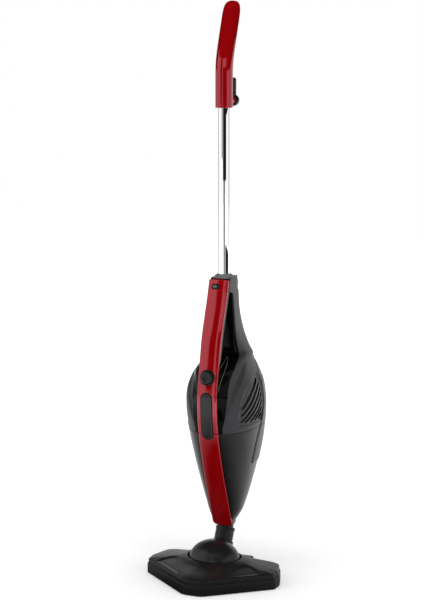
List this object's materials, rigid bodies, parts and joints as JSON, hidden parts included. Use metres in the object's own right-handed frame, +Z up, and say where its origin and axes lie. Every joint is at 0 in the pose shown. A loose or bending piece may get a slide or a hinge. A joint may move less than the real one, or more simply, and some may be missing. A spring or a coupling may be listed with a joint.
{
  "type": "upright vacuum cleaner",
  "caption": "Upright vacuum cleaner: grip handle on a steel tube, motor housing with a loop grip, lift-off dust cup, swivelling neck and a pointed floor head.",
  "frame": {"origin": "on the floor, under the centre of the overall box, with the tube standing upright", "axes": "+Z up, the front with the red strip faces -Y, +X to the right seen from the rear"},
  "size_m": [0.2816, 0.2913, 1.1557],
  "materials": {
    "red_gloss": "gloss",
    "grey_matte": "satin",
    "black_gloss": "gloss",
    "black_matte": "matte",
    "cup_grey": "satin",
    "pale_grey": "satin",
    "chrome": "polished",
    "steel": "brushed",
    "aluminium": "satin",
    "copper_core": "matte",
    "rubber_black": "matte",
    "foam": "matte",
    "filter_paper": "matte",
    "white_plastic": "satin"
  },
  "bodies": {
    "head": {"head_base": "black_matte", "head_cover": "cup_grey", "sole_plate": "steel", "bristle_strips": "black_matte", "glide_pads": "rubber_black", "suction_duct": "black_matte", "wheel_pods": "black_matte", "wheel_axles": "steel", "head_screws": "steel", "head_posts": "black_matte", "pivot_blocks": "black_matte"},
    "right_wheel": {"wheel_right": "black_matte"},
    "left_wheel": {"wheel_left": "black_matte"},
    "knuckle": {"knuckle": "black_matte"},
    "neck": {"neck": "black_matte", "neck_ring": "black_gloss"},
    "cup": {"dust_cup": "cup_grey", "cup_strip": "red_gloss", "cup_rear_cover": "black_matte", "flap_pin": "steel", "flap_ears": "cup_grey"},
    "flap": {"inlet_flap": "rubber_black"},
    "housing": {"front_strip": "red_gloss", "grip_bar": "black_gloss", "grip_liner": "black_gloss", "housing_left": "grey_matte", "housing_right": "grey_matte", "rear_cover": "black_matte", "cord_outlet": "black_matte", "tube_collar": "pale_grey", "power_bezel": "black_gloss", "power_switch": "white_plastic", "latch_pad": "rubber_black", "latch_ears": "black_gloss", "motor_deck": "black_matte", "fan_shroud": "aluminium", "motor_can": "steel", "motor_rubber": "rubber_black", "motor_cradle": "black_matte", "motor_bracket": "black_matte", "exhaust_foam": "foam", "cup_gasket": "rubber_black", "filter_frame": "white_plastic", "filter_pleat": "filter_paper", "housing_posts": "grey_matte", "housing_screws": "steel"},
    "button": {"power_button": "black_gloss"},
    "latch": {"cup_latch": "black_gloss"},
    "lock": {"tube_lock": "grey_matte"},
    "rotor": {"rotor_core": "copper_core", "fan_wheel": "aluminium"},
    "upper_tube": {"chrome_tube": "chrome", "handle_front": "red_gloss", "handle_rear": "red_gloss", "handle_screws": "steel", "handle_bush": "black_matte", "hook_pin": "steel"},
    "hook": {"cord_hook": "black_matte"}
  },
  "joints": [
    {"name": "knuckle_tilt", "type": "hinge", "parent": "head", "child": "knuckle", "pos_m": [0, -0.026, 0.036], "axis": [-1, 0, 0], "range_deg": [0, 40]},
    {"name": "neck_swivel", "type": "hinge", "parent": "knuckle", "child": "neck", "pos_m": [0, 0.027, 0.076], "axis": [0, 0.5, 0.866], "range_deg": [-40, 40]},
    {"name": "cup_lift", "type": "slide", "parent": "neck", "child": "cup", "axis": [0, 0.5, 0.866], "range_m": [0, 0.03]},
    {"name": "housing_lift", "type": "slide", "parent": "cup", "child": "housing", "axis": [0, 0, 1], "range_m": [0, 0.09]},
    {"name": "tube_lift", "type": "slide", "parent": "housing", "child": "upper_tube", "axis": [0, 0, 1], "range_m": [0, 0.03]},
    {"name": "hook_turn", "type": "hinge", "parent": "upper_tube", "child": "hook", "pos_m": [0, 0.07, 0.9595], "axis": [0, 1, 0], "range_deg": [0, 180]},
    {"name": "power_push", "type": "slide", "parent": "housing", "child": "button", "axis": [0, 0.9795, -0.2016], "range_m": [0, 0.0025], "stiffness_N_per_m": 800},
    {"name": "latch_press", "type": "hinge", "parent": "housing", "child": "latch", "pos_m": [0, -0.0626, 0.3435], "axis": [-1, 0, 0], "range_deg": [0, 3], "stiffness_Nm_per_rad": 1},
    {"name": "lock_press", "type": "slide", "parent": "housing", "child": "lock", "axis": [0, 1, 0], "range_m": [0, 0.0015], "stiffness_N_per_m": 800},
    {"name": "fan_spin", "type": "hinge", "parent": "housing", "child": "rotor", "pos_m": [0, 0.04, 0.37], "axis": [0, 0, 1], "continuous": true},
    {"name": "flap_hinge", "type": "hinge", "parent": "cup", "child": "flap", "pos_m": [0, 0.03504, 0.12413], "axis": [1, 0, 0], "range_deg": [0, 60]},
    {"name": "wheel_roll_right", "type": "hinge", "parent": "head", "child": "right_wheel", "pos_m": [0.044, 0.04, 0.013], "axis": [1, 0, 0], "continuous": true},
    {"name": "wheel_roll_left", "type": "hinge", "parent": "head", "child": "left_wheel", "pos_m": [-0.044, 0.04, 0.013], "axis": [1, 0, 0], "continuous": true}
  ]
}
